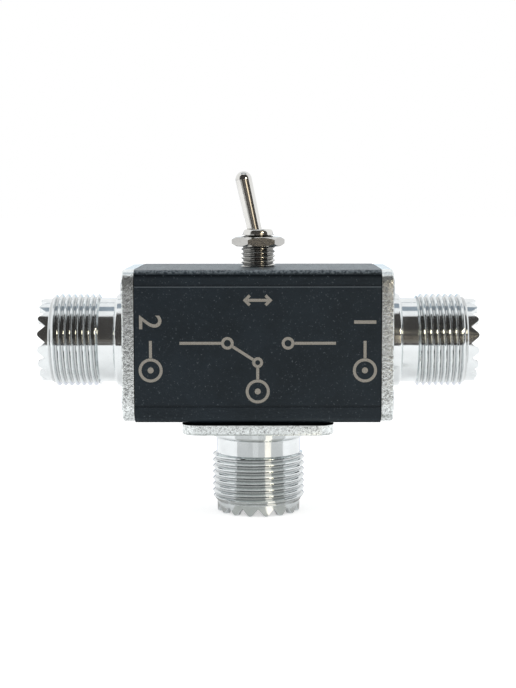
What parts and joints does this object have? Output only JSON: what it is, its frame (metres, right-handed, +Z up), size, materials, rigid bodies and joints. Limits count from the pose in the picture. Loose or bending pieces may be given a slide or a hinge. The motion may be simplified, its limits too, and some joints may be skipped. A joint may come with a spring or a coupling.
{
  "type": "coaxial antenna switch",
  "caption": "Small metal box that joins a threaded coaxial port below to either of the ports on its two ends, chosen by a toggle lever on top.",
  "frame": {"origin": "centre of the common port's toothed mouth, in the plane the switch stands on", "axes": "+Z up towards the toggle, +X out of port 1, -X out of port 2, -Y is the marked front"},
  "size_m": [0.0748, 0.0254, 0.0588],
  "materials": {
    "black_anodised": "fine sandblasted black anodising",
    "silver_contact": "silver plated brass",
    "white_insulator": "moulded, matte",
    "spring_steel": "bright spring steel",
    "zinc_screws": "plated steel",
    "bright_nickel": "turned and plated nickel",
    "tinned_copper": "tinned wire",
    "solder": "satin solder",
    "case_plastic": "moulded phenolic",
    "pressed_steel": "plated sheet steel",
    "plunger_plastic": "moulded nylon"
  },
  "bodies": {
    "housing": {"body_extrusion": "black_anodised", "common_contact": "silver_contact", "common_insulator": "white_insulator", "common_ring": "spring_steel", "common_screws": "zinc_screws", "common_shell": "bright_nickel", "common_terminal": "silver_contact", "common_wire": "tinned_copper", "lock_washer": "spring_steel", "port_1_contact": "silver_contact", "port_1_insulator": "white_insulator", "port_1_ring": "spring_steel", "port_1_screws": "zinc_screws", "port_1_shell": "bright_nickel", "port_1_terminal": "silver_contact", "port_1_wire": "tinned_copper", "port_2_contact": "silver_contact", "port_2_insulator": "white_insulator", "port_2_ring": "spring_steel", "port_2_screws": "zinc_screws", "port_2_shell": "bright_nickel", "port_2_terminal": "silver_contact", "port_2_wire": "tinned_copper", "solder_joints": "solder", "toggle_bushing": "bright_nickel", "toggle_case": "case_plastic", "toggle_frame": "pressed_steel", "toggle_nut": "bright_nickel"},
    "lever": {"toggle_lever": "bright_nickel", "plunger_spring": "spring_steel"},
    "plunger": {"toggle_plunger": "plunger_plastic"},
    "rocker": {"rocker_contact": "silver_contact"}
  },
  "joints": [
    {"name": "lever_swing", "type": "hinge", "parent": "housing", "child": "lever", "pos_m": [0, 0, 0.04585], "axis": [0, 1, 0], "range_deg": [0, 24.2]},
    {"name": "rocker_tilt", "type": "hinge", "parent": "housing", "child": "rocker", "pos_m": [0, 0, 0.03461], "axis": [0, -1, 0], "range_deg": [0, 10]},
    {"name": "plunger_push", "type": "slide", "parent": "lever", "child": "plunger", "axis": [-0.2096, 0, 0.9778], "range_m": [0, 0.0005], "stiffness_N_per_m": 400, "springref_m": -0.001, "deforming": ["plunger_spring"]}
  ],
  "couplings": [
    {"joint": "rocker_tilt", "follows": "lever_swing", "ratio": 0.41322}
  ]
}
